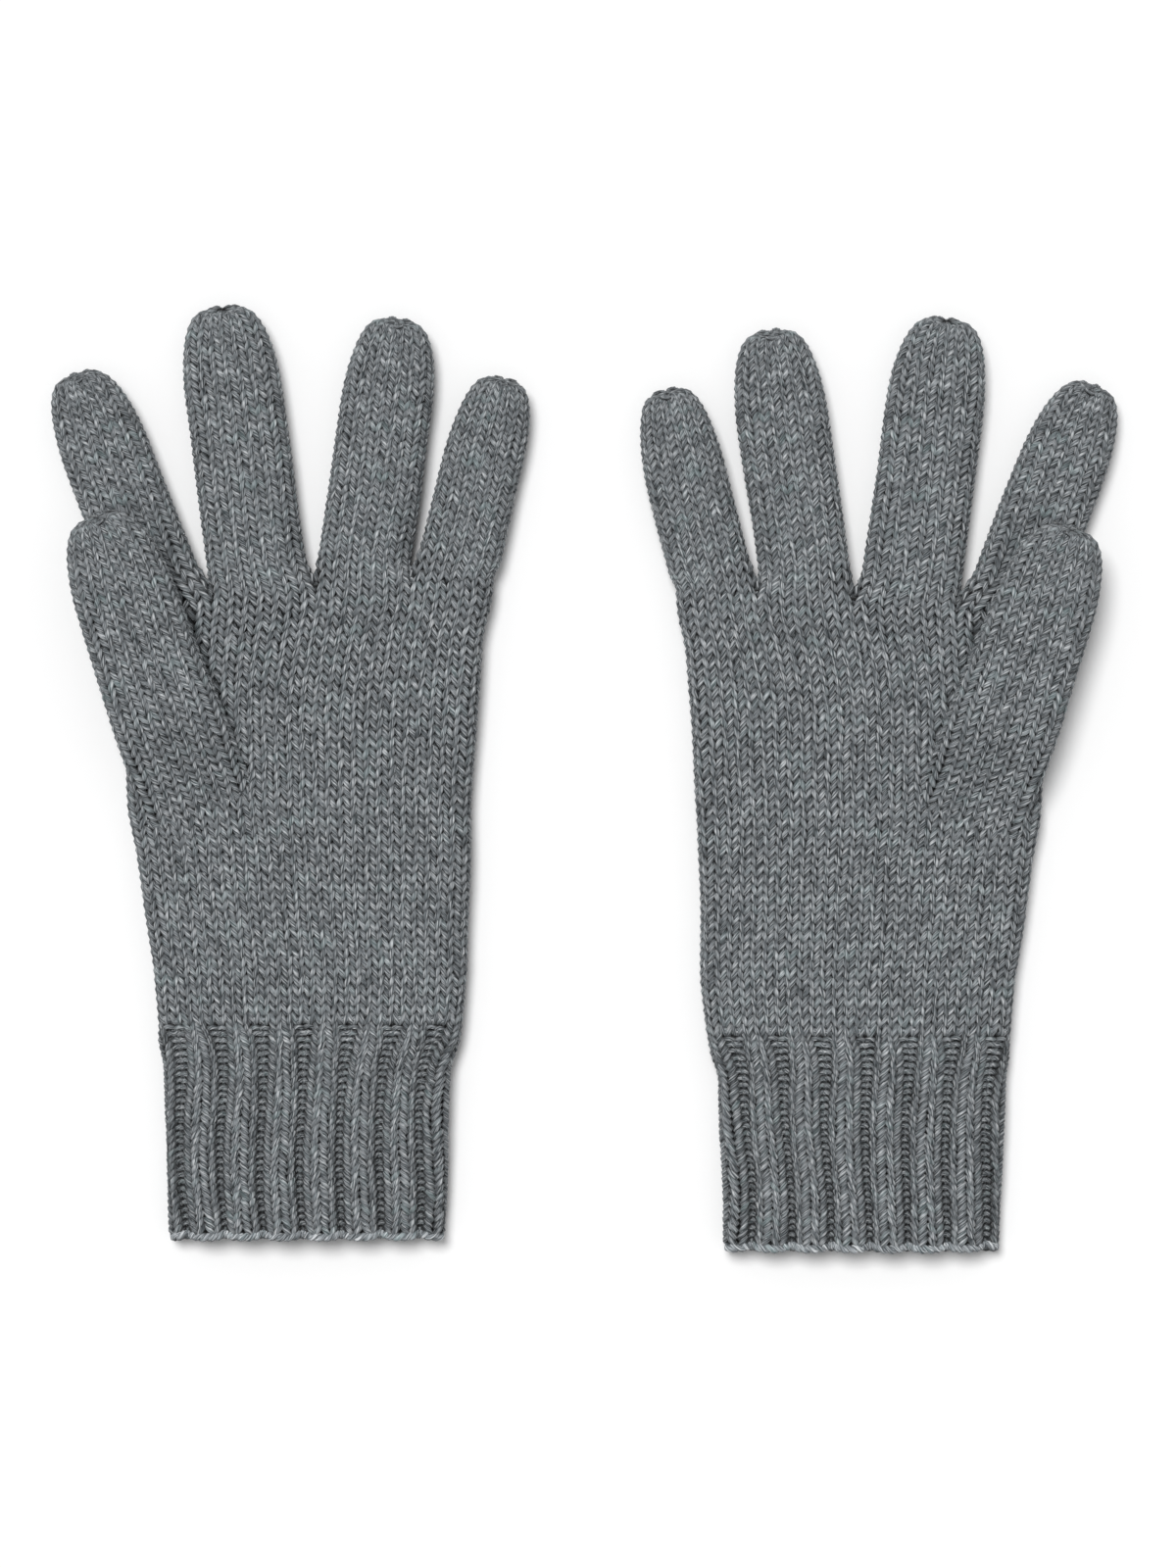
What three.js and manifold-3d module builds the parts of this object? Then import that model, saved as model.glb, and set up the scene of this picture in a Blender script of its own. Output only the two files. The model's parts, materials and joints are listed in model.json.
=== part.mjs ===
// A pair of hand-knitted full-finger gloves, lying flat with the palm sides up.
// Each glove is a ribbed cuff, a hand, a thumb set into a slit in the palm and four fingers.
// Every section is a flattened knitted tube: two layers of fabric with a hollow between them.
import * as THREE from 'three';
import * as BufferGeometryUtils from 'three/addons/utils/BufferGeometryUtils.js';
import Module from 'manifold-3d';

const wasm = await Module();
wasm.setup();

// ---- Driving dimensions, in millimetres and degrees ----

const tubeHeight = 10.4;     // a tube lying flat, from its back to its palm side
const fabric = 2.1;          // thickness of the knitted fabric
const sideRound = 8;         // how far in the rounded side of a flat tube reaches
const gap = 0.3;             // free space between neighbouring pieces
const webGap = 0.6;          // free space between two fingers where they leave the hand

const castOnLength = 2.6;    // the doubled first row of the cuff
const castOnProud = 0.7;     // how much wider that row is than the cuff, on each side
const cuffLength = 62;       // from the glove's lower edge to the fold at the wrist
const cuffEdgeWidth = 75;
const cuffWristWidth = 81;
const wristWidth = 85.5;     // the hand, just above the cuff
const handLength = 124;      // from the wrist fold to the middle of the knuckle line
const thumbSideBow = 0.9;    // shape of the hand's two sides, 1 is straight and more is hollow
const littleSideBow = 1.8;

// Fingers, from the thumb's side. lean is away from the glove's long axis, to the thumb's side,
// rise is the fold's place past the knuckle line, and knuckle is from that fold to the second.
const fingers = {
  index: { width: 24.4, tipWidth: 23.0, length: 62.5, lean: 19.4, rise: -4.0, knuckle: 28.5 },
  middle: { width: 27.4, tipWidth: 26.4, length: 75.0, lean: 7.3, rise: -1.6, knuckle: 35.0 },
  ring: { width: 25.6, tipWidth: 25.4, length: 69.0, lean: -7.4, rise: 0.9, knuckle: 32.0 },
  little: { width: 23.0, tipWidth: 22.8, length: 52.0, lean: -12.9, rise: 2.4, knuckle: 25.0 },
};
const thumb = { width: 33.0, tipWidth: 27.4, length: 79.0, lean: 19.2, above: 64 };
const slitMargin = 4;        // the thumb's slit is this much narrower than the thumb, on each side

const tipRound = 11;         // length over which a fingertip closes
const tipEndShare = 0.36;    // what is left of the tip's width at its drawn-in end
const gatherLength = 2.2;    // the drawn-in thread that closes a tip

const cuffSpacing = 153;     // between the two gloves' long axes
const stagger = 3.2;         // the right glove lies this much lower

// ---- Values that follow ----

const midHeight = tubeHeight / 2;
const reach = midHeight + gap;        // from a fold to the end of the neighbouring piece
const cutSpare = 2;                   // how far a cutting solid stands past what it cuts
const sideSteps = 6;
const tipSteps = 4;
const names = Object.keys(fingers);

const yarn = {
  hand: new THREE.MeshStandardMaterial({ color: 0x6d7174, roughness: 0.96, metalness: 0 }),
  cuff: new THREE.MeshStandardMaterial({ color: 0x65696c, roughness: 0.96, metalness: 0 }),
  finger: new THREE.MeshStandardMaterial({ color: 0x72767a, roughness: 0.96, metalness: 0 }),
  thumb: new THREE.MeshStandardMaterial({ color: 0x777b7e, roughness: 0.96, metalness: 0 }),
  trim: new THREE.MeshStandardMaterial({ color: 0x5e6265, roughness: 0.98, metalness: 0 }),
};

const radians = (degrees) => THREE.MathUtils.degToRad(degrees);
const mix = THREE.MathUtils.lerp;

// ---- Solids ----

function toSolid(geometry) {
  const bare = geometry.clone();
  bare.deleteAttribute('normal');
  bare.deleteAttribute('uv');
  const merged = BufferGeometryUtils.mergeVertices(bare, 1e-4);
  return new wasm.Manifold(new wasm.Mesh({
    numProp: 3,
    vertProperties: Float32Array.from(merged.attributes.position.array),
    triVerts: Uint32Array.from(merged.index.array),
  }));
}

function toGeometry(solid) {
  const mesh = solid.getMesh();
  const geometry = new THREE.BufferGeometry();
  geometry.setAttribute('position', new THREE.BufferAttribute(mesh.vertProperties, 3));
  geometry.setIndex(new THREE.BufferAttribute(mesh.triVerts, 1));
  geometry.computeVertexNormals();
  return geometry;
}

// The outline across a flat tube: flat back and palm side, with half an ellipse at each side.
function sectionPoints({ y, centre = 0, half, low, high, round }) {
  const points = [];
  const side = Math.min(round, half);
  for (const direction of [1, -1]) {
    for (let step = 0; step <= sideSteps; step += 1) {
      const angle = Math.PI * (step / sideSteps - 0.5) * direction;
      const x = centre + direction * (half - side + side * Math.cos(angle));
      const z = (low + high) / 2 + ((high - low) / 2) * Math.sin(angle);
      points.push(new THREE.Vector3(x, y, z));
    }
  }
  return points;
}

// A closed solid through a list of sections, from the first to the last along +Y.
function loft(sections) {
  const rings = sections.map(sectionPoints);
  const count = rings[0].length;
  const index = [];
  for (let ring = 0; ring + 1 < rings.length; ring += 1) {
    for (let corner = 0; corner < count; corner += 1) {
      const a = ring * count + corner;
      const b = ring * count + ((corner + 1) % count);
      index.push(a, a + count, b, b, a + count, b + count);
    }
  }
  const last = (rings.length - 1) * count;
  for (let corner = 1; corner + 1 < count; corner += 1) {
    index.push(0, corner, corner + 1);
    index.push(last, last + corner + 1, last + corner);
  }
  const geometry = new THREE.BufferGeometry().setFromPoints(rings.flat());
  geometry.setIndex(index);
  return geometry;
}

// The hollow of a tube: its sections moved in by the fabric, run on past each open end.
function hollow(sections, { openStart = true, openEnd = true } = {}) {
  const inner = sections.map((section) => ({
    ...section,
    half: section.half - fabric,
    low: section.low + fabric,
    high: section.high - fabric,
    round: Math.max(section.round - fabric, 1),
  }));
  inner[0].y += openStart ? -cutSpare : fabric;
  inner[inner.length - 1].y += openEnd ? cutSpare : -fabric;
  return inner;
}

function tube(sections, ends) {
  return toSolid(loft(sections)).subtract(toSolid(loft(hollow(sections, ends))));
}

// What a rounded fold leaves of a tube: all of it past the fold, and half a round before it.
// towards is 1 where the tube runs along +Y from the fold, and -1 where it runs along -Y.
function roundedFold(foldY, towards, length) {
  const spare = midHeight + cutSpare;
  const shape = new THREE.Shape();
  shape.moveTo(foldY, -midHeight);
  shape.absarc(foldY, 0, midHeight, -Math.PI / 2, Math.PI / 2, towards > 0);
  shape.lineTo(foldY, spare);
  shape.lineTo(foldY + towards * (length + spare), spare);
  shape.lineTo(foldY + towards * (length + spare), -spare);
  shape.lineTo(foldY, -spare);
  const width = 2 * wristWidth;
  const geometry = new THREE.ExtrudeGeometry(shape, {
    depth: width, bevelEnabled: false, curveSegments: 2 * sideSteps,
  });
  const axes = new THREE.Matrix4().makeBasis(
    new THREE.Vector3(0, 1, 0), new THREE.Vector3(0, 0, 1), new THREE.Vector3(1, 0, 0),
  );
  geometry.applyMatrix4(axes);
  geometry.translate(-width / 2, 0, midHeight);
  return toSolid(geometry);
}

// ---- Fingers and thumb ----

const flatSection = (y, half, low = 0) => ({
  y, half, low, high: low + tubeHeight, round: sideRound,
});

// The sections that close a tip: width and height fall along a quarter of an ellipse.
function tipSections(start, end, half, low) {
  const sections = [];
  for (let step = 1; step <= tipSteps; step += 1) {
    const along = step / tipSteps;
    const share = mix(tipEndShare, 1, Math.sqrt(1 - along * along));
    const lift = (1 - Math.sqrt(share)) * midHeight;
    sections.push({
      y: mix(start, end, Math.sin((along * Math.PI) / 2)),
      half: half * share,
      low: low + lift,
      high: low + tubeHeight - lift,
      round: sideRound,
    });
  }
  return sections;
}

function lowerFinger({ width, tipWidth, length, knuckle }) {
  const widthAt = (y) => mix(width, tipWidth, y / length) / 2;
  const end = knuckle - reach;
  const body = tube([flatSection(-midHeight, width / 2), flatSection(end, widthAt(end))]);
  return body.intersect(roundedFold(0, 1, length));
}

// The finger past its knuckle, whose fold is at y = 0, with a tip that closes to a small end.
function upperFinger({ width, tipWidth, length, knuckle }) {
  const end = length - knuckle - gatherLength - gap;
  const start = end - tipRound;
  const foldHalf = mix(width, tipWidth, knuckle / length) / 2;
  const sections = [
    flatSection(-midHeight, foldHalf),
    flatSection(start, tipWidth / 2),
    ...tipSections(start, end, tipWidth / 2, 0),
  ];
  return tube(sections, { openEnd: false }).intersect(roundedFold(0, 1, length));
}

function thumbTube({ width, tipWidth, length }) {
  const low = tubeHeight + gap;
  const end = length - gatherLength - gap;
  const start = end - tipRound;
  const sections = [
    flatSection(0, width / 2, low),
    flatSection(start, tipWidth / 2, low),
    ...tipSections(start, end, tipWidth / 2, low),
  ];
  return tube(sections, { openEnd: false });
}

// The drawn-in thread on a closed tip, a small button as wide as the tip's end.
function tipGather(tipWidth, low) {
  const half = (tipWidth / 2) * tipEndShare;
  const height = midHeight * Math.sqrt(tipEndShare);
  const middle = low + midHeight;
  const slice = (y, share) => ({
    y,
    half: half * share,
    low: middle - height * share,
    high: middle + height * share,
    round: half * share * 0.8,
  });
  return toSolid(loft([slice(0, 0.86), slice(gatherLength / 2, 0.92), slice(gatherLength, 0.5)]));
}

// Where each finger's first fold lies, in a glove whose thumb is at -X. Neighbouring fingers
// stand far enough apart for their rounded ends to clear each other below the folds.
function fingerPlaces() {
  const across = (name) => fingers[name].width / Math.cos(radians(fingers[name].lean));
  const slope = (name) => Math.tan(radians(fingers[name].lean));
  const space = (one, next) => webGap + reach * Math.max(slope(one) - slope(next), 0);
  let total = 0;
  const centres = names.map((name, place) => {
    if (place > 0) total += space(names[place - 1], name);
    total += across(name);
    return total - across(name) / 2;
  });
  return Object.fromEntries(names.map((name, place) => [name, {
    x: centres[place] - total / 2,
    y: cuffLength + handLength + fingers[name].rise,
    half: across(name) / 2,
  }]));
}

const places = fingerPlaces();
const knuckleY = cuffLength + handLength;

// The hand's side towards the thumb and towards the little finger, at a height y.
function handSides(y) {
  const share = THREE.MathUtils.clamp((y - cuffLength) / handLength, 0, 1);
  const thumbEdge = places.index.x - places.index.half;
  const littleEdge = places.little.x + places.little.half;
  return {
    thumbSide: mix(-wristWidth / 2, thumbEdge, share ** thumbSideBow),
    littleSide: mix(wristWidth / 2, littleEdge, share ** littleSideBow),
  };
}

function thumbPlace() {
  const y = cuffLength + thumb.above;
  const halfAcross = thumb.width / 2 / Math.cos(radians(thumb.lean));
  return { x: handSides(y).thumbSide + halfAcross, y };
}

// ---- Hand and cuff ----

const placed = ({ x, y }, lean, mirror) => new THREE.Matrix4()
  .makeRotationZ(radians(lean) * mirror)
  .setPosition(x * mirror, y, 0);

// Everything past a finger's base, in the finger's own frame.
function fingerRoom({ width }) {
  const length = 2 * handLength;
  const room = new THREE.BoxGeometry(width + 6, length, tubeHeight + 2 * cutSpare);
  room.translate(0, length / 2 - reach, midHeight);
  return room;
}

// The slit in the palm that the thumb grows from, a slot just below the thumb's fold.
function thumbSlit() {
  const half = thumb.width / 2 - slitMargin;
  const round = (tubeHeight - 1) / 2;
  const shape = new THREE.Shape();
  shape.absarc(half - round, -midHeight, round, -Math.PI / 2, Math.PI / 2, false);
  shape.absarc(round - half, -midHeight, round, Math.PI / 2, 1.5 * Math.PI, false);
  const slot = new THREE.ExtrudeGeometry(shape, {
    depth: tubeHeight, bevelEnabled: false, curveSegments: sideSteps,
  });
  slot.translate(0, 0, midHeight);
  return slot;
}

function hand(mirror) {
  const bottom = cuffLength + reach;
  const rows = 6;
  const sections = Array.from({ length: rows + 1 }, (_, row) => {
    const y = mix(bottom, knuckleY + midHeight, row / rows);
    const { thumbSide, littleSide } = handSides(y);
    return {
      ...flatSection(y, (littleSide - thumbSide) / 2),
      centre: ((littleSide + thumbSide) / 2) * mirror,
    };
  });
  let body = tube(sections);
  for (const name of names) {
    const room = fingerRoom(fingers[name]);
    body = body.subtract(toSolid(room.applyMatrix4(placed(places[name], fingers[name].lean, mirror))));
  }
  const slit = thumbSlit().applyMatrix4(placed(thumbPlace(), thumb.lean, mirror));
  return body.subtract(toSolid(slit));
}

// The cuff, whose fold at the wrist is at y = 0.
function cuff() {
  const start = castOnLength + gap - cuffLength;
  const halfAt = (y) => mix(cuffWristWidth, cuffEdgeWidth, -y / cuffLength) / 2;
  const sections = [flatSection(start, halfAt(start)), flatSection(midHeight, halfAt(0))];
  return tube(sections).intersect(roundedFold(0, -1, cuffLength));
}

function castOnEdge() {
  const half = cuffEdgeWidth / 2 + castOnProud;
  return tube([
    flatSection(-cuffLength, half),
    flatSection(castOnLength - cuffLength, half),
  ]);
}

// ---- Assembly ----

function named(name, solid, material) {
  const mesh = new THREE.Mesh(toGeometry(solid), material);
  mesh.name = name;
  return mesh;
}

function fingerGroup(side, name, mirror) {
  const size = fingers[name];
  const group = new THREE.Group();
  group.position.set(places[name].x * mirror, places[name].y, 0);
  group.rotation.z = radians(size.lean) * mirror;
  const upper = named(`${side}_${name}_upper`, upperFinger(size), yarn.finger);
  upper.position.y = size.knuckle;
  const gather = named(`${side}_${name}_tip_gather`, tipGather(size.tipWidth, 0), yarn.trim);
  gather.position.y = size.length - gatherLength;
  group.add(named(`${side}_${name}_lower`, lowerFinger(size), yarn.finger), upper, gather);
  return group;
}

function thumbGroup(side, mirror) {
  const group = new THREE.Group();
  group.position.set(thumbPlace().x * mirror, thumbPlace().y, 0);
  group.rotation.z = radians(thumb.lean) * mirror;
  const low = tubeHeight + gap;
  const gather = named(`${side}_thumb_tip_gather`, tipGather(thumb.tipWidth, low), yarn.trim);
  gather.position.y = thumb.length - gatherLength;
  group.add(named(`${side}_thumb`, thumbTube(thumb), yarn.thumb), gather);
  return group;
}

// mirror is 1 for the left glove, whose thumb is at -X with the palm up, and -1 for the right.
function glove(side, mirror) {
  const group = new THREE.Group();
  const wrist = new THREE.Group();
  wrist.position.y = cuffLength;
  wrist.add(named(`${side}_cuff`, cuff(), yarn.cuff));
  wrist.add(named(`${side}_cast_on_edge`, castOnEdge(), yarn.trim));
  group.add(named(`${side}_hand`, hand(mirror), yarn.hand), wrist, thumbGroup(side, mirror));
  for (const name of names) group.add(fingerGroup(side, name, mirror));
  group.position.x = (-cuffSpacing / 2) * mirror;
  return group;
}

const pair = new THREE.Group();
const left = glove('left', 1);
const right = glove('right', -1);
left.position.y = stagger;
pair.add(left, right);

// The origin is under the middle of the pair, on the surface that it lies on.
const box = new THREE.Box3().setFromObject(pair, true);
const centre = box.getCenter(new THREE.Vector3());
pair.position.set(-centre.x, -centre.y, -box.min.z);

export default pair;
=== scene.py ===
import json
import math

import bpy
import numpy as np
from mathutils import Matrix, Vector


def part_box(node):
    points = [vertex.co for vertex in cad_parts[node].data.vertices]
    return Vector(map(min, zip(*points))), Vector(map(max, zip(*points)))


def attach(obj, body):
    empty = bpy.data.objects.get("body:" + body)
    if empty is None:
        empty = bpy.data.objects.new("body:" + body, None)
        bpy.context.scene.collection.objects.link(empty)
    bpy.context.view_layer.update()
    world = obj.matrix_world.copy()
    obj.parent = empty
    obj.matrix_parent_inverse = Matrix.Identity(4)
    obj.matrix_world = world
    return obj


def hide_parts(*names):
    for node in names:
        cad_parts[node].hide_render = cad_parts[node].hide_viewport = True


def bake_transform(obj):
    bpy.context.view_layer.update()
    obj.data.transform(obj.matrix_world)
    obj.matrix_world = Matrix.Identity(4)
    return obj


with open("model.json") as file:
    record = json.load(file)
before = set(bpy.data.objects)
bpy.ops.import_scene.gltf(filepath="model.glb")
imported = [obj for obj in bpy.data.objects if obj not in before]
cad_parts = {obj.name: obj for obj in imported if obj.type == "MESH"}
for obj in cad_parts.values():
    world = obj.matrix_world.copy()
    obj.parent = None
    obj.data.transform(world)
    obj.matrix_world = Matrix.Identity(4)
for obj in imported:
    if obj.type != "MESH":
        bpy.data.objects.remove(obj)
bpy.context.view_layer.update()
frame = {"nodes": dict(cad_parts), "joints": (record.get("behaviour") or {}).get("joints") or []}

mm = 0.001
joints = {joint["name"]: joint for joint in frame["joints"]}


def smooth(value):       # 0 before 0, 1 after 1, and an S-shaped step between
    value = np.clip(value, 0, 1)
    return value * value * (3 - 2 * value)


def mix(a, b, share):
    return a + (b - a) * share


# What a knitter would change about the yarn and the fabric, in millimetres.
yarn = {
    "radius": 0.86,          # half the thickness of the yarn
    "sides": 5,              # corners round the yarn
    "steps": 12,             # points along the yarn in one stitch
    "fullWale": 3.4,         # a stitch this wide has yarn of the full thickness
    "thinKnit": 0.28,        # in a narrower one it thins, down to this share of the width in a knit
    "thinPurl": 0.75,        # stitch and to this one in a purl stitch, and in a wider one
    "thickest": 1.06,        # it thickens up to this share,
    "thinPower": 0.6,        # following this power of the width
    "lean": 0.30,            # how far a stitch's two legs lean apart, as a share of its width
    "hook": 0.98,            # how far a loop reaches into the next row,
    "hookRows": (0.7, 1.12), # and its least and greatest reach, in rows
    "swell": 0.13,           # how much fuller the yarn is where a stitch stands out
    "relief": 0.78,          # how far the legs stand out, in yarn radii
    "sheetDepth": 0.55,      # how far in the sheet behind the legs lies, in yarn radii
    "shadeFrom": 1.80,       # the yarn's colour is painted darker, as shade, inwards from this level, in yarn radii,
    "shadeOver": 1.15,       # over this much,
    "shadeTo": 0.03,         # to this share of its brightness,
    "insideLight": 0.75,     # and the painted shade gives back this share on the fabric's inner face,
    "insideFrom": -0.8,      # from this level inwards
    "insideOver": 0.5,       # and over this much
    "purlShade": 0.1,        # a purl stitch's bumps are painted as lit as if they stood this much further out,
    "furrowShade": 0.2,      # and a rib's furrow is painted darker, as shade, by this share of its depth
    "uneven": 0.05,          # hand-knitted unevenness, as a share of a stitch
    "loopLength": 12.0,      # yarn used by one stitch
}


# A glove's own measure: millimetres from its long axis towards the little finger, from its lower
# edge towards the fingertips, and up. mirror is 1 for the left glove and -1 for the right.
def gloveFrame(side):
    wrist = joints[side + "_wrist_fold"]["pos_m"]
    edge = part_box(side + "_cast_on_edge")[0].y / mm
    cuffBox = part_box(side + "_cuff")
    return {
        "side": side, "mirror": 1 if side == "left" else -1,
        "x": wrist[0] / mm, "y": edge, "wrist": wrist[1] / mm - edge,
        "middle": wrist[2] / mm, "cuffHalf": (cuffBox[1].x - cuffBox[0].x) / 2 / mm,
        "seed": 1.0 if side == "left" else 2.0,
    }


def foldPlace(glove, name):
    joint = joints[glove["side"] + name]
    x, y, _ = joint["pos_m"]
    place = np.array([(x / mm - glove["x"]) * glove["mirror"], y / mm - glove["y"]])
    along = np.array([-joint["axis"][1] * glove["mirror"], joint["axis"][0]])
    return place, along


def nodeReach(glove, node, place, direction):    # lowest and highest value along a direction
    mesh = frame["nodes"][glove["side"] + node].data
    points = np.empty(len(mesh.vertices) * 3, np.float32)
    mesh.vertices.foreach_get("co", points)
    points = points.reshape(-1, 3) / mm
    local = np.column_stack([(points[:, 0] - glove["x"]) * glove["mirror"], points[:, 1] - glove["y"]])
    value = (local - place) @ direction
    return value.min(), value.max()


def fingerSize(glove, name):
    place, along = foldPlace(glove, "_" + name + "_base_fold")
    knuckle, _ = foldPlace(glove, "_" + name + "_knuckle_fold")
    across = np.array([along[1], -along[0]])
    low, high = nodeReach(glove, "_" + name + "_lower", place, across)
    tipLow, tipHigh = nodeReach(glove, "_" + name + "_upper", place, across)
    wider = fingerKnit[name]["wider"] / 2
    return {
        "place": place, "along": along, "across": across, "half": (high - low) / 2 + wider,
        "tipHalf": (tipHigh - tipLow) / 2 + wider, "knuckle": float((knuckle - place) @ along),
        "length": nodeReach(glove, "_" + name + "_tip_gather", place, along)[1],
    }


def thumbSize(glove):
    place, along = foldPlace(glove, "_thumb_lift")
    across = np.array([along[1], -along[0]])
    low, high = nodeReach(glove, "_thumb", place, across)
    return {
        "place": place, "along": along, "across": across, "half": (high - low) / 2,
        "tipHalf": (high - low) / 2 * thumbKnit["taper"],
        "low": joints[glove["side"] + "_thumb_lift"]["pos_m"][2] / mm,
        "length": nodeReach(glove, "_thumb_tip_gather", place, along)[1],
    }


def quarterArc(a, b):    # length of a quarter of an ellipse, by Ramanujan's rule
    return math.pi / 4 * (3 * (a + b) - np.sqrt((3 * a + b) * (a + 3 * b)))


# A point on a flat tube's outline: straight along the palm side and the back, with half an ellipse
# at each side. share runs from 0 at the left side, over the palm side to 0.5 at the right side, and
# back underneath to 1. crown lifts the palm side by a parabola.
def sectionPoint(share, half, height, roundLeft, roundRight, crown):
    share = np.mod(share, 1)
    under = share > 0.5
    leftArc, rightArc = quarterArc(roundLeft, height), quarterArc(roundRight, height)
    flat = 2 * half - roundLeft - roundRight
    run = np.where(under, 1 - share, share) * 2 * (leftArc + flat + rightArc)
    onLeft, onRight = run < leftArc, run > leftArc + flat
    angle = np.where(onLeft, run / leftArc, (run - leftArc - flat) / rightArc) * math.pi / 2
    across = np.where(
        onLeft, -half + roundLeft * (1 - np.cos(angle)),
        np.where(onRight, half - roundRight * (1 - np.sin(angle)), run - leftArc + roundLeft - half))
    up = height * np.where(onLeft, np.sin(angle), np.where(onRight, np.cos(angle), 1))
    bulge = 1 + crown * (1 - (across / half) ** 2)
    return across, np.where(under, -up, up * bulge)


# Slow unevenness of the lying fabric: a sum of long waves over the glove, in millimetres.
def settle(x, y, seed):
    wave = 0.30 * np.sin(x / 9.1 + seed * 2.1) * np.sin(y / 13.0 + seed)
    return wave + 0.22 * np.sin(y / 7.3 + x / 17.0 + seed * 3.7)


# A tube's surface at a wale (stitch across) and a row, from stations given along its rows.
def surfacePoint(tube, wale, row):
    at = {key: np.interp(row, tube["row"], value) for key, value in tube["stations"].items()}
    count = tube["wales"]
    turned = np.mod(wale + tube["lead"] + tube["warp"](wale, row), count)
    share = mix(turned / count, np.interp(turned, *tube["fan"]), at["fan"])
    across, up = sectionPoint(
        share, at["half"], at["height"], at["roundLeft"], at["roundRight"], at["crown"])
    x = at["x"] + at["acrossX"] * across + at["upX"] * up
    y = at["y"] + at["acrossY"] * across + at["upY"] * up
    z = at["z"] + at["upZ"] * up
    shift = settle(x, y, tube["seed"])
    top = smooth(up / at["height"] + 0.5)
    z = z + (shift - tube["press"](x, y)) * top
    return np.stack([x + 0.5 * shift, y + 0.35 * settle(y, x, tube["seed"]), z], -1)


# The surface with its outward normal and the size of one stitch there.
def surfaceFrame(tube, wale, row):
    step = 0.05
    point = surfacePoint(tube, wale, row)
    overWale = (surfacePoint(tube, wale + step, row) - surfacePoint(tube, wale - step, row)) / step / 2
    overRow = (surfacePoint(tube, wale, row + step) - surfacePoint(tube, wale, row - step)) / step / 2
    normal = np.cross(overWale, overRow)
    normal /= np.linalg.norm(normal, axis=-1, keepdims=True) + 1e-9
    return point, normal, np.linalg.norm(overWale, axis=-1), np.linalg.norm(overRow, axis=-1)


# A small smooth unevenness over the stitches: a product of two sines and one more sine.
def ripple(wale, row, seed):
    return (np.sin(1.7 * wale + 0.9 * row + seed * 5.3) * np.sin(0.6 * wale - 1.3 * row + seed * 2.9)
            + 0.6 * np.sin(2.9 * wale + seed + 2.1 * np.sin(0.8 * row)))


# The centre line of the yarn in every row of a tube, one loop to a stitch. In a stitch's own
# measure, with t from 0 to 1, the yarn runs across by t + lean sin(4 pi t), up and down by
# hook cos(2 pi t) and in and out by -relief radius cos(4 pi t), so its legs stand in front of the
# loops. A purl stitch is the same with its front and back changed over.
def yarnRows(tube, firstRow, lastRow):
    steps, count = yarn["steps"], tube["wales"]
    t = np.arange(count * steps) / steps
    row = np.arange(firstRow, lastRow)[:, None] + 0.5
    t = np.broadcast_to(t, (len(row), len(t)))
    _, _, width, height = surfaceFrame(tube, t, row + 0 * t)
    face = tube["face"](t, row)              # 1 on a knit stitch, -1 on a purl stitch
    thinnest = mix(yarn["thinPurl"], yarn["thinKnit"], (face + 1) / 2)
    full = np.clip(width / yarn["fullWale"], thinnest, yarn["thickest"])
    radius = yarn["radius"] * full ** yarn["thinPower"]
    uneven = yarn["uneven"] * ripple(t, row, tube["seed"])
    lean = yarn["lean"] * (1 + 2 * uneven)
    hook = np.clip(0.5 + yarn["hook"] / np.maximum(height, 1.2), *yarn["hookRows"])
    wale = t + lean * np.sin(4 * math.pi * t) + uneven
    rise = row + hook * np.cos(2 * math.pi * t) * (1 + uneven) + 0.8 * uneven
    point, normal, _, _ = surfaceFrame(tube, wale, rise)
    beat = np.cos(4 * math.pi * t)
    lift = tube["lift"](wale, rise)
    stand = -yarn["relief"] * radius * beat * face
    depth = stand + lift
    # painted shade: this height only sets how dark the yarn is painted; furrows are painted darker and
    # purl bumps lighter
    shadeHeight = stand + yarn["furrowShade"] * np.minimum(lift, 0)
    shadeHeight = shadeHeight + yarn["purlShade"] * radius * (1 - face) / 2
    radius = radius * (1 - yarn["swell"] * beat * face)
    along = (row * count + t) * yarn["loopLength"]
    return point + normal * depth[..., None], normal, radius, along, shadeHeight
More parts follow.
